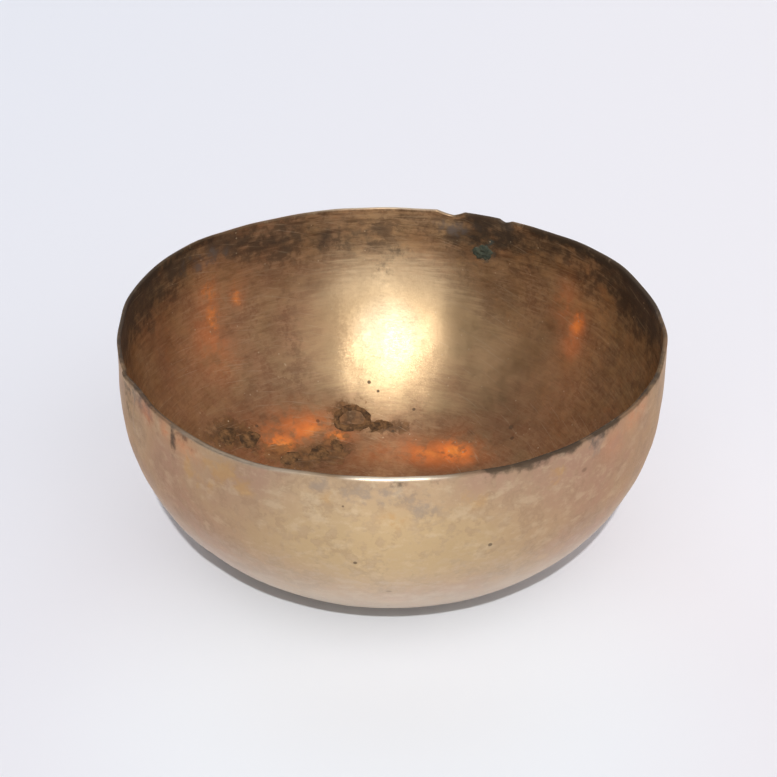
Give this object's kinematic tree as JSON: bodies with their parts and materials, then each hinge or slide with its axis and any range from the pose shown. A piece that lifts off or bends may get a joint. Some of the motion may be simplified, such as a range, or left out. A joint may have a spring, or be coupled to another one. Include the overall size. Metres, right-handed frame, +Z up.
{
  "type": "offering bowl",
  "caption": "Deep round hammered bronze offering bowl with a plain straight rim, chipped at the back, a small flat foot and dried dark and green crusts inside.",
  "frame": {"origin": "middle of the flat foot, on the surface that the bowl stands on", "axes": "+Z up along the bowl's axis to its mouth; -Y is the front that the picture shows, so the chipped part of the rim is towards +Y"},
  "size_m": [0.18, 0.18, 0.0785],
  "materials": {
    "bronze": "satin",
    "residue": "matte",
    "verdigris": "matte"
  },
  "bodies": {
    "root": {"bowl": "bronze", "residue_ring": "residue", "residue_patches": "residue", "verdigris_crust": "verdigris"}
  },
  "joints": []
}
